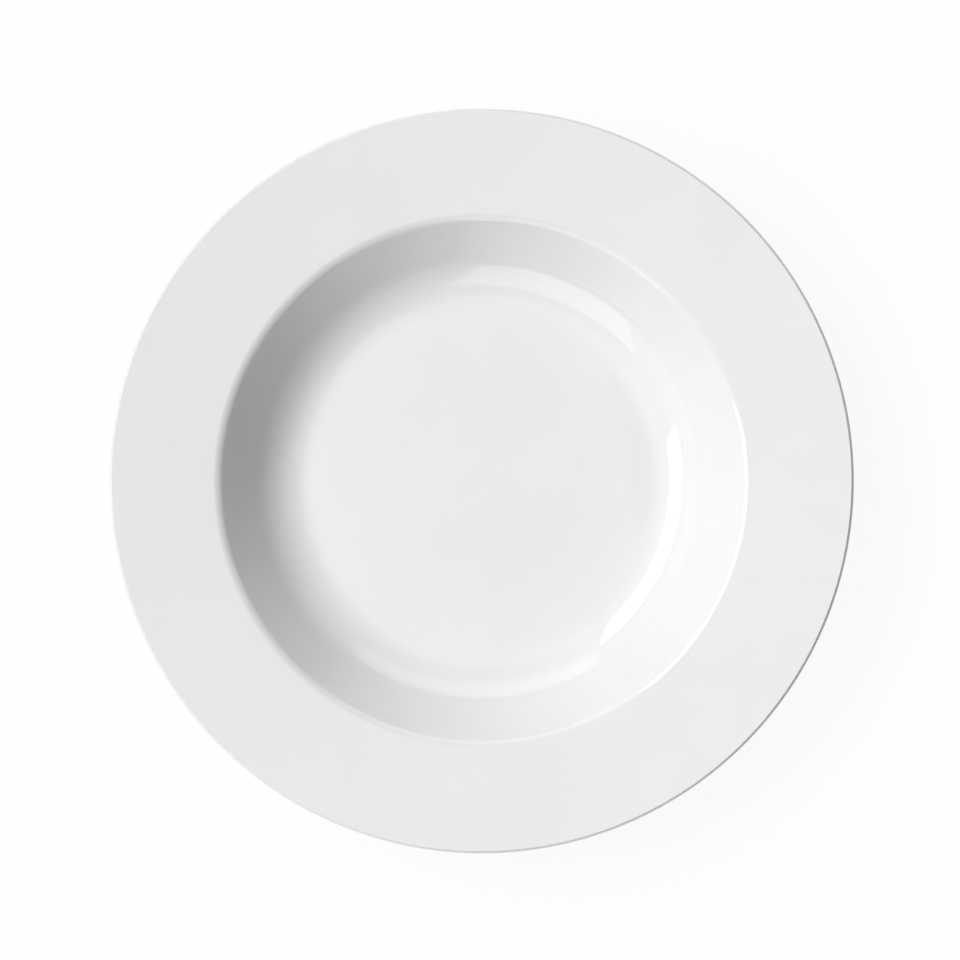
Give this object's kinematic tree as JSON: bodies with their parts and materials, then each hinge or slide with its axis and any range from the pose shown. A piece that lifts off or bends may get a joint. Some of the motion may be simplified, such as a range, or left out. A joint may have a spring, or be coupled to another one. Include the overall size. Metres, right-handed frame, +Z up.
{
  "type": "rimmed soup plate",
  "caption": "Round white glazed soup plate with a wide, gently rising rim, a steep-walled well and a nearly flat, slightly crowned floor, standing on a bare foot ring.",
  "frame": {"origin": "on the plate's axis, in the plane of the face that the foot ring stands on", "axes": "+Z up along the plate's axis, out of the well; the plate is round, so +X and +Y are any two level directions at right angles"},
  "size_m": [0.24, 0.24, 0.0348],
  "materials": {
    "porcelain": "unglazed fired porcelain, matte, ground smooth where it stands",
    "glaze": "glossy glaze over white porcelain"
  },
  "bodies": {
    "root": {"porcelain_body": "porcelain", "face_glaze": "glaze", "base_glaze": "glaze"}
  },
  "joints": []
}
